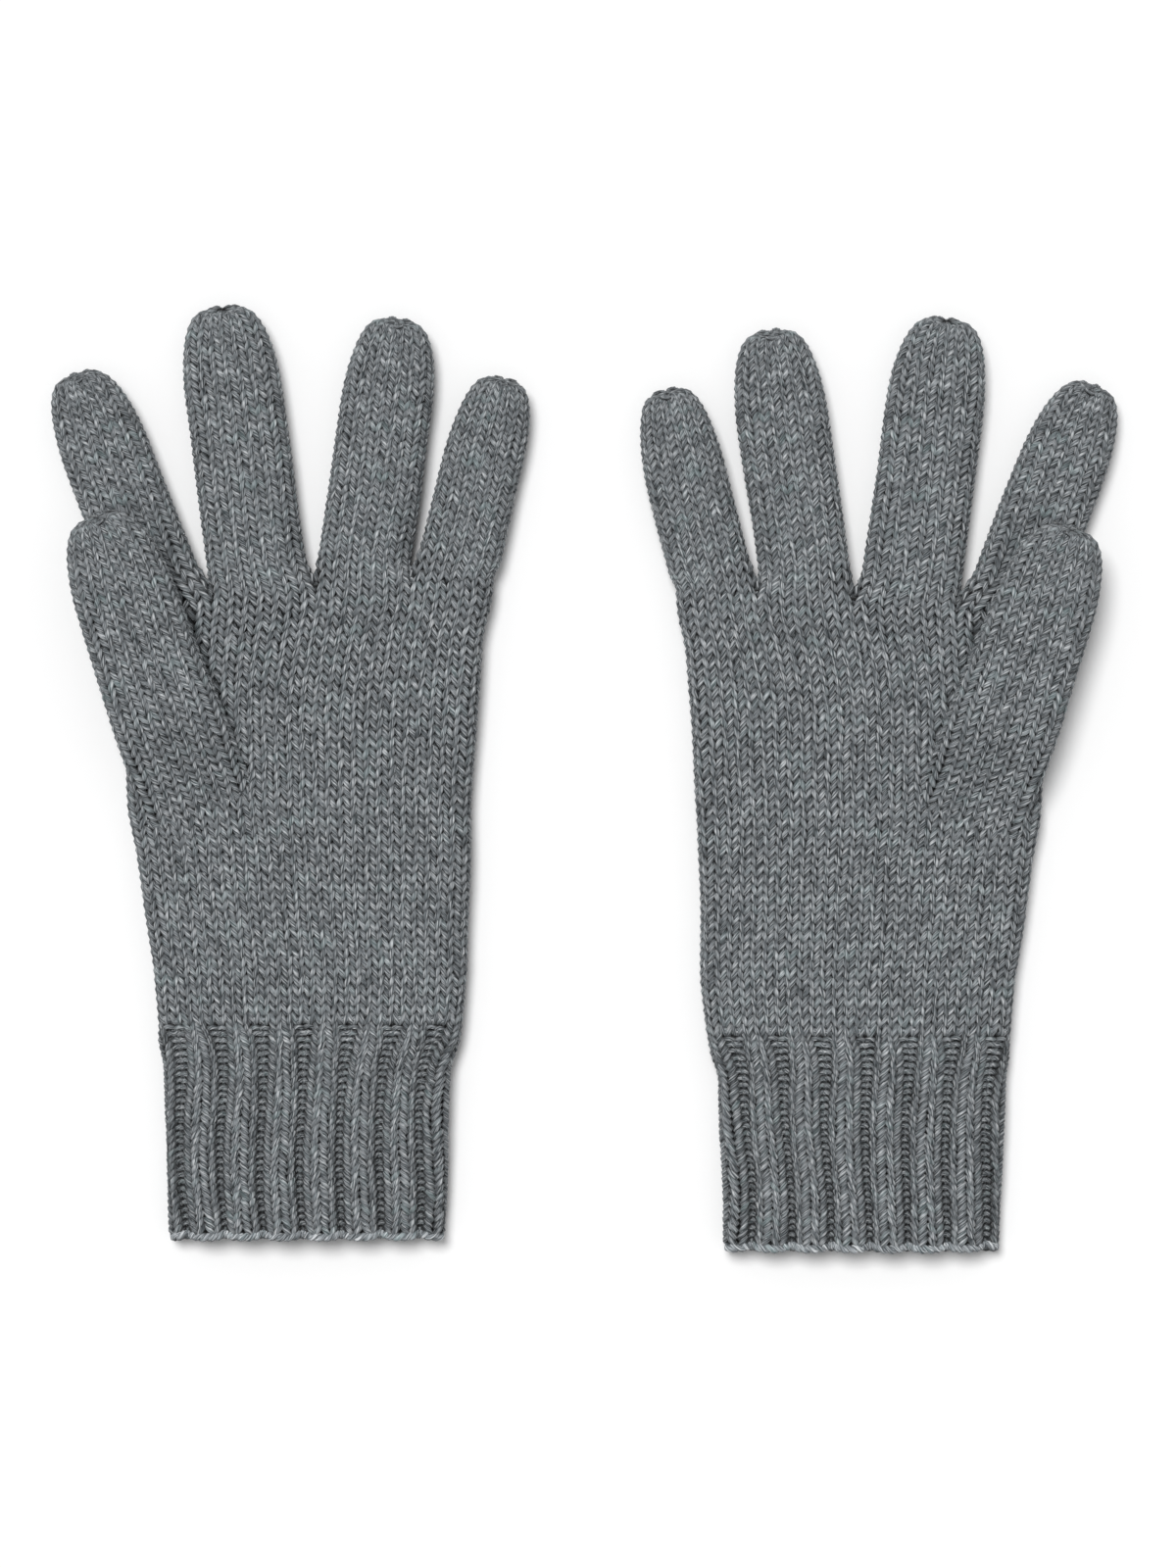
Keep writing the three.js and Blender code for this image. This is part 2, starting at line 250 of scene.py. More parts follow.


# Puts a round yarn of a few sides round centre lines. Each corner is the centre plus the radius
# times cos and sin of its angle on two directions square to the line. shade is painted shade: it is
# 0 where the yarn stands out from the fabric and 1 deep in it, and falls again towards the fabric's
# inner face.
def sweepYarn(centre, reference, radius, along, shadeHeight, closed):
    ahead = np.roll(centre, -1, 1) - np.roll(centre, 1, 1)
    if not closed:
        ahead = np.gradient(centre, axis=1)
    ahead /= np.linalg.norm(ahead, axis=-1, keepdims=True) + 1e-9
    out = reference - (reference * ahead).sum(-1, keepdims=True) * ahead
    out /= np.linalg.norm(out, axis=-1, keepdims=True) + 1e-9
    side = np.cross(ahead, out)
    sides = yarn["sides"]
    angle = math.pi + np.arange(sides) * 2 * math.pi / sides
    ring = np.cos(angle)[:, None] * out[:, :, None] + np.sin(angle)[:, None] * side[:, :, None]
    points = centre[:, :, None] + radius[:, :, None, None] * ring
    # painted shade: the deeper a corner lies in the fabric, the darker its colour is painted, and lighter
    # again on the inner face
    level = (shadeHeight / radius)[:, :, None] + np.cos(angle)
    shade = np.clip((yarn["shadeFrom"] - level) / yarn["shadeOver"], 0, 1)
    inner = smooth((yarn["insideFrom"] - level) / yarn["insideOver"])
    shade = shade * (1 - yarn["insideLight"] * inner)
    rows, count = centre.shape[:2]
    last = count if closed else count - 1
    line, place, corner = np.meshgrid(np.arange(rows), np.arange(last), np.arange(sides), indexing="ij")
    nextPlace, nextCorner = (place + 1) % count, (corner + 1) % sides

    def index(p, c):
        return (line * count + p) * sides + c

    quads = np.stack([index(place, corner), index(place, nextCorner),
                      index(nextPlace, nextCorner), index(nextPlace, corner)], -1)
    gap = along[0, 1] - along[0, 0]
    u = along[line, place] / 10
    v = corner / sides
    u2, v2 = u + gap / 10, v + 1 / sides
    maps = np.stack([np.stack([u, v], -1), np.stack([u, v2], -1),
                     np.stack([u2, v2], -1), np.stack([u2, v], -1)], -2)
    return points.reshape(-1, 3), quads.reshape(-1, 4), maps.reshape(-1, 4, 2), shade.ravel()


# The fabric behind the legs: a sheet through the backs of the loops, two quads to a stitch. It is painted
# in full shade, a dark sheet that shows as shade in the gaps between the stitches.
def backSheet(tube, firstRow, lastRow):
    count = tube["wales"] * 2
    rows = int(lastRow - firstRow) + 1
    wale, row = np.meshgrid(np.arange(count) / 2, np.linspace(firstRow, lastRow, rows))
    point, normal, width, _ = surfaceFrame(tube, wale, row)
    thin = np.clip(width / yarn["fullWale"], 0.3, 1)
    sink = tube["lift"](wale, row) - yarn["sheetDepth"] * yarn["radius"] * thin
    point = point + normal * sink[..., None]
    line, place = np.meshgrid(np.arange(rows - 1), np.arange(count), indexing="ij")
    after = (place + 1) % count
    quads = np.stack([line * count + place, line * count + after,
                      (line + 1) * count + after, (line + 1) * count + place], -1)
    u = (row[:-1] * tube["wales"] + wale[:-1]) * yarn["loopLength"] / 10
    maps = np.stack([np.stack([u, 0 * u + 0.5], -1)] * 4, -2)
    # painted shade: the whole sheet takes the deepest painted shade
    shade = np.ones(point.size // 3)
    return point.reshape(-1, 3), quads.reshape(-1, 4), maps.reshape(-1, 4, 2), shade


# Joins lists of points, quads and yarn maps into one object in the row's frame. The right glove is
# the mirror image of the shape worked out, so its faces are turned round.
def makePiece(name, glove, chunks, materials):
    points, quads, maps, shades, slots, base = [], [], [], [], [], 0
    for slot, (p, q, m, shade) in chunks:
        points.append(p)
        shades.append(shade)
        quads.append(q + base)
        maps.append(m)
        slots.append(np.full(len(q), slot))
        base += len(p)
    points, quads, maps = np.concatenate(points), np.concatenate(quads), np.concatenate(maps)
    if glove["mirror"] < 0:
        quads, maps = quads[:, ::-1], maps[:, ::-1]
    world = points * [glove["mirror"], 1, 1] + [glove["x"], glove["y"], 0]
    mesh = bpy.data.meshes.new(name)
    mesh.vertices.add(len(world))
    mesh.vertices.foreach_set("co", (world * mm).astype(np.float32).ravel())
    mesh.loops.add(len(quads) * 4)
    mesh.loops.foreach_set("vertex_index", quads.astype(np.int32).ravel())
    mesh.polygons.add(len(quads))
    mesh.polygons.foreach_set("loop_start", np.arange(len(quads), dtype=np.int32) * 4)
    mesh.polygons.foreach_set("material_index", np.concatenate(slots).astype(np.int32))
    mesh.polygons.foreach_set("use_smooth", np.ones(len(quads), bool))
    mesh.update()
    # the painted shade of each point, by which the wool's colour is darkened
    shade = mesh.attributes.new("shade", "FLOAT", "POINT")
    shade.data.foreach_set("value", np.concatenate(shades).astype(np.float32))
    layer = mesh.uv_layers.new(name="yarn")
    layer.data.foreach_set("uv", maps.astype(np.float32).ravel())
    mesh.validate()
    piece = bpy.data.objects.new(name, mesh)
    bpy.context.scene.collection.objects.link(piece)
    for material in materials:
        mesh.materials.append(material)
    return piece


def knitPiece(name, glove, tube, firstRow, lastRow, materials):
    if tube["closed"]:
        tube = {**tube, "lift": pucker(tube)}
    centre, normal, radius, along, shadeHeight = yarnRows(tube, firstRow, lastRow)
    front = sweepYarn(centre, normal, radius, along, shadeHeight, True)
    back = backSheet(tube, firstRow, lastRow)
    # the sheet takes slot 1, the darker copy of the wool, painted shade
    return makePiece(name, glove, [(0, front), (1, back)], materials)


def plainFace(wale, row):
    return 1 + 0 * (wale + row)


def nothing(wale, row):
    return 0 * (wale + row)


tipShape = {
    "power": 0.6,            # how bluntly a tip closes
    "lastAngle": 80.0,       # where the curve ends and the fabric is drawn straight in
    "hole": 0.5,             # half the width of the hole that is left
    "folds": 5,              # folds that run into the tip,
    "foldRows": 8,           # over this many rows,
    "pucker": 0.4,           # and their depth
    "thinning": 1.6,         # how late a tip gets thin, as a power of its closing
    "turn": 30.0,            # degrees by which the last rings turn up,
    "turnFrom": 0.7,         # from this share of the full width
    "turnOver": 0.5,         # and over this change of it
    "turnedBack": 0.7,       # how far they are drawn back
    "reach": -0.4,           # how far the end lies past the solid's end, less the yarn's radius
}


def pucker(tube):            # small folds that run into the closed end, as a cosine round the tube
    def lift(wale, row):
        share = smooth((row - tube["rows"]) / tipShape["foldRows"] + 1)
        return tipShape["pucker"] * share * np.cos(2 * math.pi * tipShape["folds"] * wale / tube["wales"])
    return lift


# The closing of a tube's end: how far along and how wide it is at steps from the start of its tip.
# The width falls as cos(angle) to a power while the length grows as sin(angle), and at the last
# angle the fabric is drawn straight in to a small hole. Steps are even along the fabric.
# The hole lies on top, a little behind the end, so the last rings are turned up towards it.
def closingCurve(tipLength, half):
    angle = np.linspace(0, math.radians(tipShape["lastAngle"]), 200)
    along = np.append(tipLength * np.sin(angle) / math.sin(angle[-1]), tipLength)
    width = np.append(np.cos(angle) ** tipShape["power"], tipShape["hole"] / half)
    run = np.append(0, np.cumsum(np.hypot(np.diff(along), 0.75 * half * np.diff(width))))
    return run, along, width


# The rows of a tube that closes: how far along each station is, and how wide as a share.
def closingRows(size, start, end, half):
    tipStart = end - size["tip"]
    tipRun, tipAlong, tipWidth = closingCurve(size["tip"], half)
    rows = int(round((tipStart - start + tipRun[-1]) / size["course"]))
    row = np.linspace(-1, rows + 1, 16 * (rows + 2) + 1)
    run = start + row * size["course"]
    s = np.where(run < tipStart, run, tipStart + np.interp(run - tipStart, tipRun, tipAlong))
    return rows, row, s, np.interp(run - tipStart, tipRun, tipWidth)


def closingHeight(height, closing):      # a tip stays thick for long, and then closes fast
    return height * (1 - (1 - closing) ** tipShape["thinning"]) + 0.02


# How far a tube's rings are turned up at each station of its closing, and the rings' up direction.
def closingTurn(closing, height, heightNow):
    turned = smooth((tipShape["turnFrom"] - closing) / tipShape["turnOver"])
    angle = math.radians(tipShape["turn"]) * turned
    return turned * tipShape["turnedBack"], turned * (height - heightNow), np.sin(angle), np.cos(angle)


# The cuff and the hand are one tube, knitted round from the cuff's edge. Sizes are in millimetres.
bodyKnit = {
    "wales": 56, "ribRows": 31, "handRows": 46,
    "firstRow": 2.7,         # where knitting starts, above the glove's lower edge
    "ribTop": 60.5,          # where the rib ends
    "edgeCourse": 1.9,       # height of a row below the first one
    "lastCourse": 2.4,       # and above the last one
    "ribOut": 0.85,          # how far a rib stands out
    "ribIn": 1.3,            # and a furrow sinks
    "ribHeight": 2.65,       # half the thickness of the lying cuff
    "ribSpread": (0.5, 0.46, 0.2),   # stitches that a rib spreads over its furrows: at the edge,
    "spreadRows": 11,        # this many rows below the rib's end, and at its end
    "ribWander": 0.26,       # how far a rib wanders sideways, in stitches
    "blendRows": 4.0,        # rows in which the ribs fade into the plain knit
    "thickenOver": 5.0,      # length, round the rib's end, in which the lying tube thickens
    "flareBelow": 13.0,      # the wrist widens from this far below the rib's end
    "flareOver": 16.0,       # and over this length
    "crown": 0.22,           # how much the palm side bulges
    "openCrown": 0.5,        # and how much more at the open edge
    "gatherRows": 14,        # a length on both sides of the wrist's fold
    "bend": 6.0,             # the wrist bends over this much on both sides of its fold
    # the hand's edges at distances from the lower edge, measured from the glove's long axis
    "up": (63.5, 76, 92.5, 108.5, 119.5, 130, 146, 168, 184),
    "thumbSide": (-41.8, -42.9, -45.6, -47.7, -49.9, -50.5, -52.0, -54.2, -56.0),
    "littleSide": (43.6, 44.8, 45.0, 45.6, 45.9, 46.7, 47.7, 49.4, 52.0),
    # the rows at which the tube is parted into pieces
    "splits": (0, 28, 34, 55, 77),
}


# Where the hand's last row is split between the four fingers, and the line of that row.
def knuckleLine(glove, fingers):
    names = list(fingers)
    starts = np.array([fingers[n]["place"] + fingers[n]["along"] * fingerShape["start"] for n in names])
    across = starts[-1] - starts[0]
    across = across / np.linalg.norm(across)
    place = (starts - starts[0]) @ across
    half = np.array([fingers[n]["half"] for n in names])
    depth = 2 * yarn["radius"]
    edge = np.interp(starts[0][1], bodyKnit["up"], bodyKnit["thumbSide"])
    cuts = [(edge - starts[0][0]) * across[0] + depth]
    for left, right in zip(range(3), range(1, 4)):
        cuts.append((place[left] + half[left] + place[right] - half[right]) / 2)
    edge = np.interp(starts[3][1], bodyKnit["up"], bodyKnit["littleSide"])
    cuts.append((edge - starts[0][0]) / across[0] - depth)
    return {"origin": starts[0], "across": across, "cuts": np.array(cuts)}


# How far the palm side lies lower where the thumb lies on it: all of it under the thumb's middle,
# falling to nothing in the last 4 mm to its sides and root and the last 6 mm to its tip.
def pressUnder(thumb):
    def press(x, y):
        s = (x - thumb["place"][0]) * thumb["along"][0] + (y - thumb["place"][1]) * thumb["along"][1]
        t = (x - thumb["place"][0]) * thumb["across"][0] + (y - thumb["place"][1]) * thumb["across"][1]
        covered = smooth((s - thumbKnit["behind"] - 1) / 4) * smooth((thumb["half"] - abs(t)) / 4)
        return thumbKnit["press"] * covered * smooth((thumb["length"] - s) / 6)
    return press


def bodyTube(glove, line, press):
    size = bodyKnit
    rows = size["ribRows"] + size["handRows"]
    row = np.linspace(-1, rows + 1, 8 * (rows + 2) + 1)
    cuts = line["cuts"]
    half = (cuts[-1] - cuts[0]) / 2
    centre = line["origin"] + line["across"] * (cuts[-1] + cuts[0]) / 2
    depth = 2 * yarn["radius"]
    up = np.interp(row, [0, size["ribRows"], rows], [size["firstRow"], size["ribTop"], centre[1]])
    up = np.where(row < 0, size["firstRow"] + row * size["edgeCourse"], up)
    up = np.where(row > rows, centre[1] + (row - rows) * size["lastCourse"], up)
    share = np.clip((up - glove["wrist"]) / (centre[1] - glove["wrist"]), 0, 1)
    # the cuff widens to the wrist, and the hand steps out above it and spreads to the knuckles
    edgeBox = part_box(glove["side"] + "_cast_on_edge")
    edgeHalf = (edgeBox[1].x - edgeBox[0].x) / 2 / mm
    cuffHalf = mix(edgeHalf, glove["cuffHalf"], np.clip(up / size["ribTop"], 0, 1)) - depth
    cuffHalf = cuffHalf - size["ribOut"] * 0.8       # the ribs stand out to the cuff's edge
    ribbed = 1 - smooth((up - size["ribTop"]) / size["thickenOver"] + 0.5)
    drawnIn = 1 - smooth((up - size["ribTop"] + size["flareBelow"]) / size["flareOver"])
    last = smooth((share - 0.85) / 0.15)             # the edges end where the fingers' edges begin
    thumbSide = mix(np.interp(up, size["up"], size["thumbSide"]) + depth, centre[0] - half, last)
    thumbSide = mix(thumbSide, -cuffHalf, drawnIn)
    littleSide = mix(np.interp(up, size["up"], size["littleSide"]) - depth, centre[0] + half, last)
    littleSide = mix(littleSide, cuffHalf, drawnIn)
    turn = smooth((share - 0.3) / 0.7) * math.atan2(line["across"][1], line["across"][0])
    height = glove["middle"] - depth
    tall = mix(height, size["ribHeight"], ribbed)
    # the front's wales gather into the four fingers' shares of the last row
    arc = quarterArc(height, height)
    around = 2 * (2 * arc + 2 * (half - height))
    front = np.concatenate([[0], (arc + cuts[1:4] - cuts[0] - height) / around, [0.5]])
    wales = np.arange(5) * size["wales"] / 8
    fan = (np.concatenate([wales, size["wales"] - wales[3::-1]]),
           np.concatenate([front, 1 - front[3::-1]]))
    period = 2 * math.pi / 4         # two knit and two purl stitches

    def rib(at, over=1.2):       # 1 where the rows are ribbed, falling to 0 over a few rows
        return 1 - smooth((at - size["ribRows"] - 0.6 + over) / over)

    def wave(wale):              # 1 in the middle of a rib and -1 in the middle of a furrow
        return np.cos(period * (wale + 0.5))

    def warp(wale, at):          # ribs spread over the furrows, more towards the edge
        rows = [0, size["ribRows"] - size["spreadRows"], size["ribRows"]]
        spread = np.interp(at, rows, size["ribSpread"])
        wander = size["ribWander"] * np.sin(at / 5.1 + 0.9 * np.sin(wale / 6.3) + glove["seed"] * 2)
        return rib(at, size["blendRows"]) * (spread * np.sin(period * (wale + 0.5)) + wander)

    def face(wale, at):
        return mix(1, np.tanh(2.6 * wave(wale)), rib(at))

    def lift(wale, at):          # ribs stand out and furrows sink, more towards the edge
        level = np.tanh(1.5 * wave(wale)) / math.tanh(1.5)
        deeper = np.clip(1.15 - at / 45, 0.4, 1.1)
        out = np.where(level > 0, size["ribOut"] * level, size["ribIn"] * level * deeper)
        return rib(at, size["blendRows"]) * out

    ones = np.ones_like(row)
    return {
        "wales": size["wales"], "lead": 0, "row": row, "rows": rows, "seed": glove["seed"], "fan": fan,
        "face": face, "lift": lift, "warp": warp, "press": press, "closed": False,
        "stations": {
            "x": (littleSide + thumbSide) / 2, "y": up, "z": glove["middle"] * ones,
            "acrossX": np.cos(turn), "acrossY": np.sin(turn),
            "upX": 0 * ones, "upY": 0 * ones, "upZ": ones,
            "half": (littleSide - thumbSide) / 2, "height": tall,
            "roundLeft": height * ones, "roundRight": height * ones,
            "crown": size["crown"] + size["openCrown"] * smooth(1 - up / size["ribTop"]),
            "fan": smooth((row - rows) / size["gatherRows"] + 1),
        },
    }


# part is where a finger's two knitted lengths meet, and webs are the stitches picked up between it
# and its neighbours. shift and splay, towards the little finger in millimetres and degrees, and
# wider, in millimetres, let the finger lie as fabric does.
fingerKnit = {
    "index": {"webs": (0, 2), "part": 14.0, "shift": -0.9, "splay": -1.3, "wider": 1.4},
    "middle": {"webs": (1, 1), "part": 18.0, "shift": -1.2, "splay": -0.3, "wider": 0.8},
    "ring": {"webs": (1, 1), "part": 16.5, "shift": -0.7, "splay": 0.7, "wider": 0.7},
    "little": {"webs": (1, 0), "part": 12.5, "shift": -0.2, "splay": 0.9, "wider": 0.4},
}
fingerShape = {
    "course": 2.25,          # height of a row
    "start": -6.0,           # the first row, before the root's fold
    "bend": 6.5,             # a length on both sides of a fold
    "tip": 25.0,             # length of the closing tip
    "takeUp": 9.0,           # length in which a finger comes to its own width
    "roundOver": 8.0,        # and to its own round edges,
    "webRound": 0.7,         # from an edge this tight between two fingers
    "crown": 0.16,           # how much the palm side bulges
    "frontWales": 7,         # stitches on the palm side, and as many on the back
}


def fingerTube(glove, finger, name, line, order, press):
    size = fingerShape
    leftWeb, rightWeb = fingerKnit[name]["webs"]
    depth = 2 * yarn["radius"]
    height = glove["middle"] - depth
    end = finger["length"] - yarn["radius"] + tipShape["reach"]
    rows, row, s, closing = closingRows(size, size["start"], end, finger["tipHalf"] - depth)
    # at its first row the finger takes its share of the hand's last row, and soon its own width
    leave = smooth((s - size["start"]) / size["takeUp"])
    low, high = line["cuts"][order], line["cuts"][order + 1]
    first = line["origin"] + line["across"] * (low + high) / 2
    offset = first - (finger["place"] + finger["along"] * size["start"])
    ownHalf = mix(finger["half"], finger["tipHalf"], np.clip(s / finger["length"], 0, 1)) - depth
    half = mix((high - low) / 2, ownHalf, leave) * closing
    across = mix(line["across"][None], finger["across"][None], leave[:, None])
    across = across / np.linalg.norm(across, axis=1, keepdims=True)
    place = finger["place"] + finger["along"] * s[:, None] + offset * (1 - leave[:, None])
    lean = fingerKnit[name]
    drift = leave * lean["shift"] + math.tan(math.radians(lean["splay"])) * np.maximum(s, 0)
    place = place + finger["across"] * drift[:, None]
    heightNow = closingHeight(height, closing)
    back, raised, leanBack, upright = closingTurn(closing, height, heightNow)
    place = place - finger["along"] * back[:, None]
    square = mix(size["webRound"], height, smooth((s - size["start"]) / size["roundOver"]))
    left = np.minimum(height if leftWeb == 0 else square, 0.9 * half)
    right = np.minimum(height if rightWeb == 0 else square, 0.9 * half)
    # how the wales lie round the first row: seven on the palm side, seven on the back, webs between
    frontWales = size["frontWales"]
    count = 2 * frontWales + leftWeb + rightWeb
    leftRound = size["webRound"] if leftWeb else height
    rightRound = size["webRound"] if rightWeb else height
    startLeft, startRight = quarterArc(leftRound, height), quarterArc(rightRound, height)
    flat = (high - low) - leftRound - rightRound
    around = 2 * (startLeft + flat + startRight)
    begin = startLeft / around if leftWeb else 0
    stop = 0.5 - (startRight / around if rightWeb else 0)
    lead = leftWeb / 2
    fan = (np.array([0, lead, lead + frontWales, lead + frontWales + rightWeb,
                     count - lead, count + 1e-6]),
           np.array([0, begin, stop, 1 - stop, 1 - begin, 1.0]))
    return {
        "wales": count, "lead": lead, "row": row, "rows": rows, "fan": fan, "seed": glove["seed"],
        "face": plainFace, "lift": nothing, "warp": nothing, "press": press, "closed": True,
        "rowAt": lambda distance: int(round((distance - size["start"]) / size["course"])),
        "stations": {
            "x": place[:, 0], "y": place[:, 1], "z": glove["middle"] + raised,
            "acrossX": across[:, 0], "acrossY": across[:, 1],
            "upX": -finger["along"][0] * leanBack, "upY": -finger["along"][1] * leanBack, "upZ": upright,
            "half": half, "height": heightNow, "roundLeft": left, "roundRight": right,
            "crown": mix(bodyKnit["crown"], size["crown"], leave), "fan": 1 - leave,
        },
    }


thumbKnit = {
    "wales": 18,
    "course": 2.3,           # height of a row
    "behind": -10.0,         # the first row, before the thumb's fold
    "tip": 24.0,             # length of the closing tip
    "crown": 0.12,           # how much the top bulges
    "taper": 0.83,           # width at the tip as a share of the width at the root
    "topRise": 32.0,         # length in which the top rises from the palm
    "underRise": 26.0,       # and in which the underside does
    "start": 1.7,            # how far below the palm's surface the first row lies,
    "startThick": 2.4,       # and its thickness
    "press": 1.9,            # how far the thumb presses the palm down
    "bend": (-9.0, 6.0),     # a span from here to here, past the thumb's fold
}


# The thumb lies on the palm and grows out of it: it starts flat under the palm's surface, and its
# palm side rises slowly along an S-shaped curve and its underside along a shorter one.
def thumbTube(glove, thumb):
    size = thumbKnit
    depth = 2 * yarn["radius"]
    height = glove["middle"] - depth
    middle = thumb["low"] + glove["middle"]
    end = thumb["length"] - yarn["radius"] + tipShape["reach"]
    rows, row, s, closing = closingRows(size, size["behind"], end, thumb["tipHalf"] - depth)
    palm = glove["middle"] + height * 1.13           # the bulging palm's top
    fromStart = s - size["behind"]
    topUp = mix(palm, middle + height, smooth((fromStart - 2) / size["topRise"]))
    topUp = topUp - size["start"] * (1 - smooth(fromStart / 5))
    underUp = mix(palm - size["startThick"], middle - height, smooth(fromStart / size["underRise"]))
    underUp = np.minimum(underUp, topUp - 0.5)
    tall = (topUp - underUp) / 2
    place = thumb["place"] + thumb["along"] * s[:, None]
    half = (mix(thumb["half"], thumb["tipHalf"], np.clip(s / thumb["length"], 0, 1)) - depth) * closing
    ones = np.ones_like(row)
    heightNow = closingHeight(tall, closing)
    back, raised, leanBack, upright = closingTurn(closing, tall, heightNow)
    place = place - thumb["along"] * back[:, None]
    return {
        "wales": size["wales"], "lead": 0, "row": row, "rows": rows, "seed": glove["seed"],
        "fan": (np.array([0, size["wales"] + 1e-6]), np.array([0, 1.0])),
        "face": plainFace, "lift": nothing, "warp": nothing, "press": nothing, "closed": True,
        "stations": {
            "x": place[:, 0], "y": place[:, 1], "z": (topUp + underUp) / 2 + raised,
            "acrossX": thumb["across"][0] * ones, "acrossY": thumb["across"][1] * ones,
            "upX": -thumb["along"][0] * leanBack, "upY": -thumb["along"][1] * leanBack, "upZ": upright,
            "half": half, "height": heightNow,
            "roundLeft": np.minimum(height, 0.9 * half), "roundRight": np.minimum(height, 0.9 * half),
            "crown": size["crown"] * ones, "fan": 0 * ones,
        },
    }


def linearColour(code):      # sRGB hex to linear
    parts = [int(code[i:i + 2], 16) / 255 for i in (1, 3, 5)]
    return [p / 12.92 if p <= 0.04045 else ((p + 0.055) / 1.055) ** 2.4 for p in parts] + [1]


def addNode(tree, kind, settings=None, links=None):
    node = tree.nodes.new(kind)
    for key, value in (settings or {}).items():
        if isinstance(key, int) or key in node.inputs:
            node.inputs[key].default_value = value
        else:
            setattr(node, key, value)
    for key, source in (links or {}).items():
        tree.links.new(source, node.inputs[key])
    return node


wool = {
    # the fibres' colours, from the darkest, and where each stands on the noise between 0 and 1
    "fibres": (("#3b4144", 0.35), ("#797f83", 0.45), ("#a9aeb2", 0.55), ("#e8ebed", 0.67)),
    "tint": "#7e9594",       # a cool tint in patches,
    "tintShare": 0.3,        # up to this share
    "patch": (0.35, 0.4, 1), # patches of tone to a centimetre of yarn, and round it
    "patchTones": (0.78, 1.2),       # the darkest and the palest patch
    "twist": 1.1,            # turns of the yarn's twist in a centimetre
    "streaks": 3.4,          # streaks of fibre to a centimetre, so each is about 3 mm long,
    "streaksRound": 14.0,    # and round the yarn, 0.4 mm wide: coarser than fibres, so that they show
    "plies": 4,
    "plyHeight": 0.3,        # of the plies' ridges against the fibres'
    "ridge": 0.0005,         # depth of the relief in metres
    "outer": 1.075,          # brightness of the yarn in front
    "inner": 0.92,           # and of the sheet behind it, a darker copy: painted shade
}


